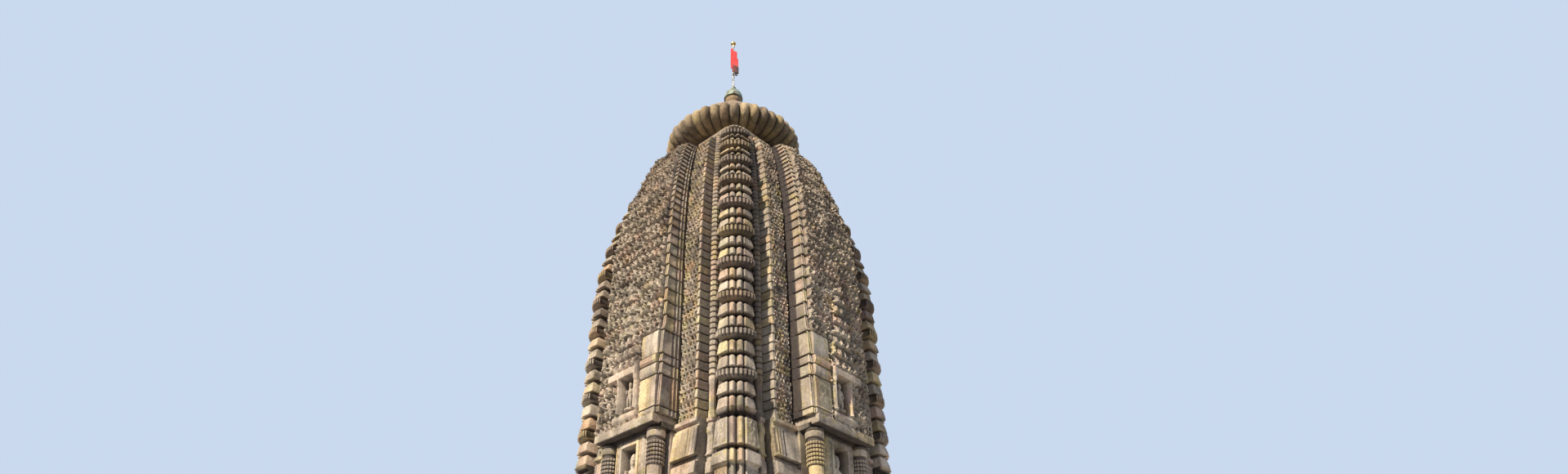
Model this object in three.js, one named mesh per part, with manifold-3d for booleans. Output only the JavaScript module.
// A stone shrine tower of the curved Odishan kind, in millimetres, +Z up, standing on z = 0.
// Its four faces look along the axes, and the doorway is in the +X face.
import * as THREE from 'three';
import { mergeVertices } from 'three/addons/utils/BufferGeometryUtils.js';
import Module from 'manifold-3d';

const wasm = await Module();
wasm.setup();

// Heights of the main parts above the ground
const plinthTop = 400;
const floorTop = 500;
const doorHead = 3000;
const wallTop = 8400;
const corniceTop = 8560;
const ceilingTop = 8700;
const towerTop = 18000;
const topSlabTop = 18200;
const topSlabChamfer = 400;

// Plan of the wall, measured from the axis of the shrine
const sanctumHalf = 1300;
const centreHalf = 1040;
const centreFace = 3580;
const upperFace = 3360;
const upperFoot = 5380;
const doorHalf = 600;
const cornerWidth = 530;
const cornerBlock = 160;
const facetSet = 140;
const flankSet = 150;
const recessSet = 230;
const recessWidth = 500;
const recessPillar = { far: 450, near: 250, set: 40 };

// Slabs over the middle bays, with a lip along the outer edge
const corniceFace = 3660;
const corniceLip = { width: 220, foot: 8340 };

// Curve of the tower: a slight batter, a long straight rise, then the curve to the top
const cornerHalfBase = 2830;
const cornerHalfBulge = 2840;
const batterHeight = 2500;
const curveStart = 12800;
const curveInset = 970;
const curvePower = 2.1;
const centreTaper = 0.94;
const centreNarrowing = 2.3;
const centreBulge = 3640;
const sideGroove = 20;

// Middle ribs: edge strips, the rounded top, and what stands at the foot of each.
// The near end of the foot is the one towards the south-west or the north-east corner.
const edgeStrip = { width: 100, set: 80 };
const meshSet = 50;
const rollFoot = 17200;
const rollHeight = 560;
const rollDepth = 600;
const footStrip = { far: 490, low: 8700, high: 10700 };
const footGroove = { far: 350, near: 460, depth: 110, high: 10760 };
const footNiche = { half: 180, low: 9160, high: 9870, depth: 230 };
const footFrame = { half: 340, standing: 30 };
const footLintel = { far: 620, high: 10060, standing: 100 };
const footBase = { far: 450, low: 8640, high: 9090, standing: 80 };

// Thickness of the tower's walls
const innerHalf = 1500;
const wallLeast = 400;

// Storeys of the corner ribs, each a stone disc under two rolled courses
const storeys = 10;
const firstDisc = 810;
const storeyHeight = 1030;
const storeyShrink = 29;
const discEdge = 60;
const discHeight = 120;
const discRound = 500;
const grooveSet = 110;
const courseSet = 10;
const courseLean = 40;
const lastCourseTop = 17850;

// Plinth, standing out from the wall
const plinthCentre = 4080;
const plinthSide = 3380;
const plinthCentreHalf = 1300;
const plinthStep = 70;
const plinthStepHeight = 220;

// Mouldings of the wall, as heights above the ground and how far they stand out
const footMouldings = [
  [400, 330], [620, 330], [760, 180], [900, 290], [1200, 290], [1300, 150],
  [1420, 250], [1600, 250], [1660, 120], [1760, 230], [1960, 230], [2050, 0],
];
const bandMouldings = [[4700, 0], [4760, 120], [4900, 120], [4980, 20], [5100, 120], [5240, 120], [5300, 0]];
const headMouldings = [
  [7080, 0], [7120, 110], [7380, 70], [7400, 0], [7500, 0],
  [7520, 120], [8190, 30], [8220, -20], [8290, -20], [8310, 60],
];

// Niches and round pilasters of the middle bays
const nicheDepth = 300;
const nicheStanding = 60;
const upperNiche = { half: 250, low: 6500, high: 8080, edge: 260, head: 290, face: upperFace };
const lowerNiche = { half: 380, low: 2450, high: 4250, edge: 180, head: 90, face: centreFace };
const pilasterBay = { inner: 540, back: 3090, low: 5300, high: 8280 };
const pilasterRadius = 220;
const pilasterAxis = [3320, 800];

// Ribbed disc, cap and finial over the tower
const discRibs = 40;
const discRadius = 2170;
const discMiddle = 19120;
const discHalfHeight = 420;
const discFlat = 1450;
const discHollow = 0.07;
const neckRadius = 1480;
const capRadius = 1640;
const capTop = 20350;
const potTop = 21430;
const lidTop = 22020;
const poleTop = 24120;
const poleRadius = 45;
const ballRadius = 95;

// Flag, tied along the upper pole and hanging in folds in front of it
const flagTop = 23950;
const flagFoot = 23000;
const tailFoot = 22450;
const flagThickness = 60;

// Gap between pieces that are shaped to each other
const joint = 0.3;

const stone = new THREE.MeshStandardMaterial({ color: 0xa58c70, roughness: 0.95, metalness: 0 });
const shadedStone = new THREE.MeshStandardMaterial({ color: 0x84705c, roughness: 0.95, metalness: 0 });
const discStone = new THREE.MeshStandardMaterial({ color: 0xa28a52, roughness: 0.95, metalness: 0 });
const oldMetal = new THREE.MeshStandardMaterial({ color: 0x6e7c66, roughness: 0.6, metalness: 0.6 });
const gilt = new THREE.MeshStandardMaterial({ color: 0xd9a04a, roughness: 0.3, metalness: 1 });
const paintedSteel = new THREE.MeshStandardMaterial({ color: 0xc9c9c4, roughness: 0.5, metalness: 0.4 });
const redCloth = new THREE.MeshStandardMaterial({ color: 0xb3201f, roughness: 0.9, metalness: 0 });

const sides = ['east', 'north', 'west', 'south'];
const corners = ['north_east', 'north_west', 'south_west', 'south_east'];

const temple = new THREE.Group();

function place(name, geometry, material) {
  const piece = new THREE.Mesh(geometry, material);
  piece.name = name;
  temple.add(piece);
}

// An outline of the +X side, turned by whole quarters about the axis
function turned(outline, quarter) {
  return outline.map(([x, y]) => [[x, y], [-y, x], [-x, -y], [y, -x]][quarter]);
}

// The triangles of a flat outline, all turning left
function capTriangles(outline) {
  const contour = outline.map(([x, y]) => new THREE.Vector2(x, y));
  const faces = THREE.ShapeUtils.triangulateShape(contour, []);
  return faces.map(([a, b, c]) => {
    const area = THREE.ShapeUtils.area([contour[a], contour[b], contour[c]]);
    return area > 0 ? [a, b, c] : [a, c, b];
  });
}

// A closed solid through outlines stacked from bottom to top, each with the same corners
// and turning left, seen from above
function stacked(levels) {
  const count = levels[0].outline.length;
  const positions = levels.flatMap(({ z, outline }) => outline.flatMap(([x, y]) => [x, y, z]));
  const index = [];
  for (let level = 0; level < levels.length - 1; level += 1) {
    const low = level * count;
    const high = low + count;
    for (let corner = 0; corner < count; corner += 1) {
      const next = (corner + 1) % count;
      index.push(low + corner, low + next, high + next);
      index.push(low + corner, high + next, high + corner);
    }
  }
  const top = (levels.length - 1) * count;
  for (const [a, b, c] of capTriangles(levels[0].outline)) index.push(a, c, b);
  for (const [a, b, c] of capTriangles(levels.at(-1).outline)) index.push(top + a, top + b, top + c);
  const geometry = new THREE.BufferGeometry();
  geometry.setAttribute('position', new THREE.Float32BufferAttribute(positions, 3));
  geometry.setIndex(index);
  geometry.computeVertexNormals();
  return geometry;
}

function rectangle(lowX, lowY, highX, highY) {
  return [[lowX, lowY], [highX, lowY], [highX, highY], [lowX, highY]];
}

function block(outline, low, high) {
  return stacked([{ z: low, outline }, { z: high, outline }]);
}

// A solid turned about an upright axis, from its radii and heights
function turnedSolid(profile, segments, [x, y] = [0, 0]) {
  const points = profile.map(([radius, z]) => new THREE.Vector2(radius, z));
  const geometry = new THREE.LatheGeometry(points, segments);
  geometry.rotateX(Math.PI / 2);
  geometry.translate(x, y, 0);
  return geometry;
}

function solidOf(geometry) {
  const bare = geometry.clone();
  bare.deleteAttribute('normal');
  const merged = mergeVertices(bare);
  const vertProperties = new Float32Array(merged.attributes.position.array);
  const triVerts = new Uint32Array(merged.index.array);
  return new wasm.Manifold(new wasm.Mesh({ numProp: 3, vertProperties, triVerts }));
}

function geometryOf(solid) {
  const mesh = solid.getMesh();
  const geometry = new THREE.BufferGeometry();
  geometry.setAttribute('position', new THREE.Float32BufferAttribute(mesh.vertProperties, 3));
  geometry.setIndex(Array.from(mesh.triVerts));
  geometry.computeVertexNormals();
  return geometry;
}

// Half width of the tower at the edges of its corner discs
function curvedHalf(z) {
  const low = Math.max(0, 1 - (z - wallTop) / batterHeight);
  const high = Math.max(0, (z - curveStart) / (towerTop - curveStart));
  return cornerHalfBulge - (cornerHalfBulge - cornerHalfBase) * low ** 2 - curveInset * high ** curvePower;
}

// Height of the middle of each corner disc
function discCentre(storey) {
  return wallTop + firstDisc + storey * storeyHeight - storeyShrink * storey * (storey - 1) / 2;
}

const storeyLevels = [wallTop];
for (let storey = 0; storey < storeys; storey += 1) storeyLevels.push(discCentre(storey));
storeyLevels.push(towerTop);

// The tower's surfaces run straight from one disc to the next
function cornerHalf(z) {
  const above = Math.max(1, storeyLevels.findIndex((level) => level >= z));
  const [low, high] = [storeyLevels[above - 1], storeyLevels[above]];
  return THREE.MathUtils.mapLinear(z, low, high, curvedHalf(low), curvedHalf(high));
}

function towerPlan(z) {
  const corner = cornerHalf(z);
  const taper = corner / cornerHalfBulge;
  const ribInner = corner - cornerWidth;
  const half = centreHalf * taper ** centreNarrowing;
  return {
    corner,
    ribInner,
    half,
    facet: corner + facetSet * taper,
    core: corner - recessSet,
    flank: corner + flankSet * taper,
    flankInner: half + edgeStrip.width + sideGroove,
    flankOuter: ribInner - recessWidth * taper,
    pillar: corner - recessPillar.set,
    pillarFar: ribInner - recessPillar.far * taper,
    pillarNear: ribInner - recessPillar.near * taper,
    centre: centreBulge * taper ** centreTaper,
    inner: Math.min(innerHalf, ribInner - wallLeast),
  };
}

const basePlan = towerPlan(wallTop);

function plinthOutline(inset) {
  const centre = plinthCentre - inset;
  const side = plinthSide - inset;
  const half = plinthCentreHalf - inset;
  const quarterOutline = [[centre, -half], [centre, half], [side, half], [side, side], [half, side]];
  return [0, 1, 2, 3].flatMap((quarter) => turned(quarterOutline, quarter));
}

function makePlinth() {
  const stepTop = plinthStepHeight + plinthStep;
  const levels = [[0, 0], [plinthStepHeight, 0], [stepTop, plinthStep], [plinthTop, plinthStep]];
  place('plinth', stacked(levels.map(([z, inset]) => ({ z, outline: plinthOutline(inset) }))), shadedStone);
}

function makeFloor() {
  const half = sanctumHalf - joint;
  const passage = doorHalf - joint;
  const sill = centreFace + nicheStanding;
  const outline = [
    [-half, -half], [half, -half], [half, -passage], [sill, -passage],
    [sill, passage], [half, passage], [half, half], [-half, half],
  ];
  place('sanctum_floor', block(outline, plinthTop, floorTop), shadedStone);
}

// A corner of the wall: the corner pier with a block at its corner, a recess with a slim pillar
// on each side of it, and the flanking piers
function pierOutline(standing) {
  const plan = basePlan;
  const tip = plan.corner + standing;
  const outer = [
    [plan.flank, centreHalf], [plan.flank, plan.flankOuter], [plan.core, plan.flankOuter],
    [plan.core, plan.pillarFar], [plan.pillar, plan.pillarFar], [plan.pillar, plan.pillarNear],
    [plan.core, plan.pillarNear], [plan.core, plan.ribInner], [plan.facet, plan.ribInner],
    [plan.facet, plan.corner - cornerBlock], [plan.corner, plan.corner - cornerBlock],
  ].map(([x, y]) => [x + standing, y]);
  const mirrored = outer.map(([x, y]) => [y, x]).reverse();
  const inside = [[centreHalf, sanctumHalf], [sanctumHalf, sanctumHalf], [sanctumHalf, centreHalf]];
  return [...outer, [tip, tip], ...mirrored, ...inside];
}

function makeCornerPiers() {
  const mouldings = [...footMouldings, ...bandMouldings, ...headMouldings, [wallTop, 60]];
  corners.forEach((corner, quarter) => {
    const levels = mouldings.map(([z, standing]) => ({ z, outline: turned(pierOutline(standing), quarter) }));
    place(`${corner}_pier`, stacked(levels), stone);
  });
}

// Part of a middle bay between two heights and two sides, with the mouldings in between
function baySlice(lowY, highY, low, high) {
  const upperSet = upperFace - centreFace;
  const edges = [...footMouldings, ...bandMouldings, [upperFoot, upperSet]];
  const mouldings = edges.filter(([z]) => z > low && z < high);
  const lowStanding = low === plinthTop ? footMouldings[0][1] : 0;
  const profile = [[low, lowStanding], ...mouldings, [high, high > upperFoot ? upperSet : 0]];
  return profile.map(([z, standing]) => {
    return { z, outline: rectangle(sanctumHalf, lowY, centreFace + standing, highY) };
  });
}

function turnedBlock(outline, low, high, quarter) {
  return solidOf(block(turned(outline, quarter), low, high));
}

function nicheFrameBlock({ half, low, high, edge, head, face }, quarter) {
  const outer = half + edge;
  const outline = rectangle(face - nicheDepth, -outer, face + nicheStanding, outer);
  return turnedBlock(outline, low - edge, high + head, quarter);
}

function nicheHollow({ half, low, high, face }, quarter) {
  return turnedBlock(rectangle(face - nicheDepth, -half, face + nicheDepth, half), low, high, quarter);
}

// The shelf at a bay's corner where a round pilaster stands
function pilasterHollow(sign, quarter) {
  const far = sign * centreHalf * 2;
  const near = sign * pilasterBay.inner;
  const outline = rectangle(pilasterBay.back, Math.min(near, far), centreFace * 2, Math.max(near, far));
  return turnedBlock(outline, pilasterBay.low, pilasterBay.high, quarter);
}

function makeBay(name, low, niches, quarter) {
  const half = centreHalf - joint;
  const levels = baySlice(-half, half, low, wallTop);
  const wall = levels.map(({ z, outline }) => ({ z, outline: turned(outline, quarter) }));
  let bay = solidOf(stacked(wall));
  for (const niche of niches) bay = bay.add(nicheFrameBlock(niche, quarter));
  for (const niche of niches) bay = bay.subtract(nicheHollow(niche, quarter));
  for (const sign of [-1, 1]) bay = bay.subtract(pilasterHollow(sign, quarter));
  place(name, geometryOf(bay), stone);
}

function makeBays() {
  sides.forEach((side, quarter) => {
    if (side === 'east') makeBay('wall_over_door', doorHead, [upperNiche], quarter);
    else makeBay(`${side}_bay`, plinthTop, [upperNiche, lowerNiche], quarter);
  });
}

function makeDoorJambs() {
  const outer = centreHalf - joint;
  place('door_jamb_south', stacked(baySlice(-outer, -doorHalf, plinthTop, doorHead)), stone);
  place('door_jamb_north', stacked(baySlice(doorHalf, outer, plinthTop, doorHead)), stone);
}

// A round pilaster with a foot, beaded rings and a capital
function makePilasters() {
  const { low, high } = pilasterBay;
  const radius = pilasterRadius;
  const profile = [
    [0, low], [radius, low], [radius, low + 260], [radius * 0.8, low + 330], [radius * 0.8, high - 900],
    [radius * 0.95, high - 860], [radius * 0.95, high - 320], [radius * 0.8, high - 280],
    [radius, high - 180], [radius, high], [0, high],
  ];
  sides.forEach((side, quarter) => {
    for (const [end, sign] of [['right', -1], ['left', 1]]) {
      const [centre] = turned([[pilasterAxis[0], sign * pilasterAxis[1]]], quarter);
      place(`${side}_pilaster_${end}`, turnedSolid(profile, 10, centre), stone);
    }
  });
}

function makeCornices() {
  const inner = towerPlan(corniceTop).core + joint;
  const half = centreHalf - 10;
  const slab = rectangle(inner, -half, corniceFace, half);
  const lip = rectangle(corniceFace - corniceLip.width, -half, corniceFace, half);
  sides.forEach((side, quarter) => {
    const edge = turnedBlock(lip, corniceLip.foot, corniceTop, quarter);
    const cornice = turnedBlock(slab, wallTop, corniceTop, quarter).add(edge);
    place(`${side}_cornice`, geometryOf(cornice), shadedStone);
  });
}

function makeCeiling() {
  const half = innerHalf - joint;
  place('sanctum_ceiling', block(rectangle(-half, -half, half, half), wallTop, ceilingTop), shadedStone);
}

// One wall of the hollow tower, mitred to its neighbours, with its two flanking ribs and, in the
// recess beside each, a slim pillar
function towerWallOutline(z) {
  const { ribInner, core, flank, flankInner, flankOuter, inner } = towerPlan(z);
  const { pillar, pillarFar, pillarNear } = towerPlan(z);
  const mitre = ribInner - joint;
  const upper = [
    [core, flankInner], [flank, flankInner], [flank, flankOuter], [core, flankOuter],
    [core, pillarFar], [pillar, pillarFar], [pillar, pillarNear], [core, pillarNear],
    [core, mitre], [mitre, mitre], [inner, inner],
  ];
  const lower = upper.map(([x, y]) => [x, -y]).reverse();
  return [...lower, ...upper];
}

function makeTowerWalls() {
  sides.forEach((side, quarter) => {
    const levels = storeyLevels.map((z) => ({ z, outline: turned(towerWallOutline(z), quarter) }));
    place(`${side}_tower_wall`, stacked(levels), stone);
  });
}

// Plan of a course of a corner rib: a wide facet on each side and a lower block at the corner
function courseOutline({ corner, facet, ribInner }, set) {
  const [wide, tip] = [facet - set, corner - set];
  const start = tip - cornerBlock;
  return [
    [ribInner, ribInner], [wide, ribInner], [wide, start], [tip, start],
    [tip, tip], [start, tip], [start, wide], [ribInner, wide],
  ];
}

// Plan of a disc of a corner rib, round at the corner
function discOutline({ facet, ribInner }) {
  const centre = facet - discRound;
  const round = [0, 22.5, 45, 67.5, 90].map((degrees) => {
    const angle = THREE.MathUtils.degToRad(degrees);
    return [centre + discRound * Math.cos(angle), centre + discRound * Math.sin(angle)];
  });
  return [[ribInner, ribInner], [facet, ribInner], ...round, [ribInner, facet]];
}

// Outlines of a corner rib from its foot to its top
function ribLevels() {
  const levels = [];
  const add = (z, set) => levels.push({ z, outline: courseOutline(towerPlan(z), set) });
  const course = (low, high) => {
    add(low, courseSet);
    add(high, courseSet + courseLean);
  };
  for (let storey = 0; storey < storeys; storey += 1) {
    const disc = discCentre(storey);
    const last = storey + 1 === storeys;
    const roof = last ? lastCourseTop : discCentre(storey + 1) - discHeight - discEdge / 2;
    if (storey === 0) course(wallTop, disc - discHeight - discEdge);
    add(disc - discHeight + discEdge / 4, grooveSet);
    levels.push({ z: disc, outline: discOutline(towerPlan(disc)) });
    add(disc + discHeight - discEdge / 4, grooveSet);
    const middle = (disc + discHeight + roof) / 2;
    course(disc + discHeight + discEdge / 2, middle - discEdge / 2);
    add(middle, grooveSet);
    course(middle + discEdge / 2, roof);
  }
  add(towerTop, grooveSet * 2);
  return levels;
}

function makeTowerRibs() {
  corners.forEach((corner, quarter) => {
    const levels = ribLevels().map(({ z, outline }) => ({ z, outline: turned(outline, quarter) }));
    place(`${corner}_tower_rib`, stacked(levels), stone);
  });
}

// How far the front of a middle rib has rolled back at its rounded top
function rolledBack(z) {
  const rise = Math.max(0, (z - rollFoot) / rollHeight);
  return rollDepth * (1 - Math.sqrt(1 - rise ** 2));
}

function centreRibOutline(z) {
  const { core, centre, half } = towerPlan(z);
  const front = centre - meshSet - rolledBack(z);
  const edge = front - edgeStrip.set;
  const outer = half + edgeStrip.width;
  const upper = [[front, half], [edge, half], [edge, outer], [core + joint, outer]];
  const lower = upper.map(([x, y]) => [x, -y]).reverse();
  return [...lower, ...upper];
}

// The foot of a middle rib: a framed niche between a lintel and a base, then a groove and a
// strip of plain blocks at the near end
function withFoot(rib, near, quarter) {
  const { centre, half } = towerPlan(footNiche.high);
  const front = centre - meshSet;
  const piece = (depth, standing, from, to, low, high) => {
    const [lowY, highY] = [Math.min(near * from, near * to), Math.max(near * from, near * to)];
    return turnedBlock(rectangle(front - depth, lowY, front + standing, highY), low, high, quarter);
  };
  const { standing, half: frameHalf } = footFrame;
  const [niche, groove] = [footNiche, footGroove];
  return rib
    .add(piece(niche.depth, standing, -frameHalf, frameHalf, footBase.high, niche.high))
    .add(piece(niche.depth, footLintel.standing, -footLintel.far, frameHalf, niche.high, footLintel.high))
    .add(piece(niche.depth, footBase.standing, -footBase.far, frameHalf, footBase.low, footBase.high))
    .add(piece(niche.depth, meshSet, footStrip.far, half, footStrip.low, footStrip.high))
    .subtract(piece(niche.depth, niche.depth, -niche.half, niche.half, niche.low, niche.high))
    .subtract(piece(groove.depth, niche.depth, groove.far, groove.near, corniceTop, groove.high));
}

function makeCentreRibs() {
  const rollLevels = [0, 0.7, 0.9, 0.98].map((rise) => rollFoot + rise * rollHeight);
  const heights = [corniceTop, ...storeyLevels.slice(1, -1), ...rollLevels].sort((a, b) => a - b);
  sides.forEach((side, quarter) => {
    const levels = heights.map((z) => ({ z, outline: turned(centreRibOutline(z), quarter) }));
    const near = quarter % 2 === 0 ? 1 : -1;
    const rib = withFoot(solidOf(stacked(levels)), near, quarter);
    place(`${side}_centre_rib`, geometryOf(rib), stone);
  });
}

function makeTopSlab() {
  const half = towerPlan(towerTop).core + recessSet / 2;
  const cut = half - topSlabChamfer;
  const corner = [[half, -cut], [half, cut]];
  const outline = [0, 1, 2, 3].flatMap((quarter) => turned(corner, quarter));
  place('tower_top_slab', block(outline, towerTop, topSlabTop), shadedStone);
}

function makeNeck() {
  const top = discMiddle - discHalfHeight;
  const profile = [
    [0, topSlabTop], [neckRadius, topSlabTop], [neckRadius - 100, (topSlabTop + top) / 2],
    [discFlat - 100, top], [0, top],
  ];
  place('neck_ring', turnedSolid(profile, 32), shadedStone);
}

// The ribbed disc: a round bulge, hollowed between its ribs
function makeRibbedDisc() {
  const slopes = [-90, -60, -30, 0, 30, 60, 90].map((degrees) => THREE.MathUtils.degToRad(degrees));
  const levels = slopes.map((slope) => {
    const radius = discFlat + (discRadius - discFlat) * Math.cos(slope);
    const outline = [];
    for (let step = 0; step < discRibs * 2; step += 1) {
      const angle = step * Math.PI / discRibs;
      const reach = step % 2 === 0 ? radius : radius * (1 - discHollow * Math.cos(slope / 2));
      outline.push([reach * Math.cos(angle), reach * Math.sin(angle)]);
    }
    return { z: discMiddle + discHalfHeight * Math.sin(slope), outline };
  });
  place('ribbed_disc', stacked(levels), discStone);
}

function makeCap() {
  const foot = discMiddle + discHalfHeight;
  const rim = foot + 110;
  const profile = [[0, foot], [discFlat - 150, foot], [capRadius, foot + 50], [capRadius, rim]];
  const rise = capTop - rim;
  for (const slope of [20, 40, 60]) {
    const angle = THREE.MathUtils.degToRad(slope);
    profile.push([capRadius * Math.cos(angle), rim + rise * Math.sin(angle)]);
  }
  profile.push([420, capTop], [0, capTop]);
  place('dome_cap', turnedSolid(profile, 32), shadedStone);
}

function makeFinial() {
  const pot = [
    [0, capTop], [380, capTop], [300, capTop + 110], [520, capTop + 330], [520, capTop + 480],
    [240, capTop + 760], [220, capTop + 860], [270, potTop - 130], [270, potTop], [0, potTop],
  ];
  const lid = [
    [0, potTop], [320, potTop], [315, potTop + 120], [290, potTop + 240], [235, potTop + 350],
    [150, potTop + 440], [80, potTop + 490], [95, potTop + 540], [60, lidTop], [0, lidTop],
  ];
  place('finial_pot', turnedSolid(pot, 24), shadedStone);
  place('finial_lid', turnedSolid(lid, 24), oldMetal);
}

function makePole() {
  const pole = [[0, lidTop], [poleRadius, lidTop], [poleRadius, poleTop], [0, poleTop]];
  const ball = [[0, poleTop], [poleRadius, poleTop]];
  const centre = poleTop + Math.sqrt(ballRadius ** 2 - poleRadius ** 2);
  for (const degrees of [-30, 0, 30, 60]) {
    const angle = THREE.MathUtils.degToRad(degrees);
    ball.push([ballRadius * Math.cos(angle), centre + ballRadius * Math.sin(angle)]);
  }
  ball.push([0, centre + ballRadius]);
  place('flag_pole', turnedSolid(pole, 16), paintedSteel);
  place('pole_ball', turnedSolid(ball, 16), gilt);
}

// The hanging cloth: narrow where it is tied, widest at its foot, with a thin tail
function makeFlag() {
  const away = new THREE.Vector2(1, -1).normalize();
  const forward = new THREE.Vector2(-1, -1).normalize();
  const [back, front] = [poleRadius + joint, poleRadius + joint + flagThickness];
  const outline = (from, to) => [[from, back], [from, front], [to, front], [to, back]].map(([out, ahead]) => {
    const point = away.clone().multiplyScalar(out).addScaledVector(forward, ahead);
    return [point.x, point.y];
  });
  const levels = [
    { z: tailFoot, outline: outline(90, 150) },
    { z: flagFoot, outline: outline(-60, 190) },
    { z: (flagTop + flagFoot) / 2, outline: outline(-100, 170) },
    { z: flagTop, outline: outline(-90, 60) },
  ];
  place('flag', stacked(levels), redCloth);
}

makePlinth();
makeFloor();
makeCornerPiers();
makeBays();
makeDoorJambs();
makePilasters();
makeCornices();
makeCeiling();
makeTowerWalls();
makeTowerRibs();
makeCentreRibs();
makeTopSlab();
makeNeck();
makeRibbedDisc();
makeCap();
makeFinial();
makePole();
makeFlag();

export default temple;
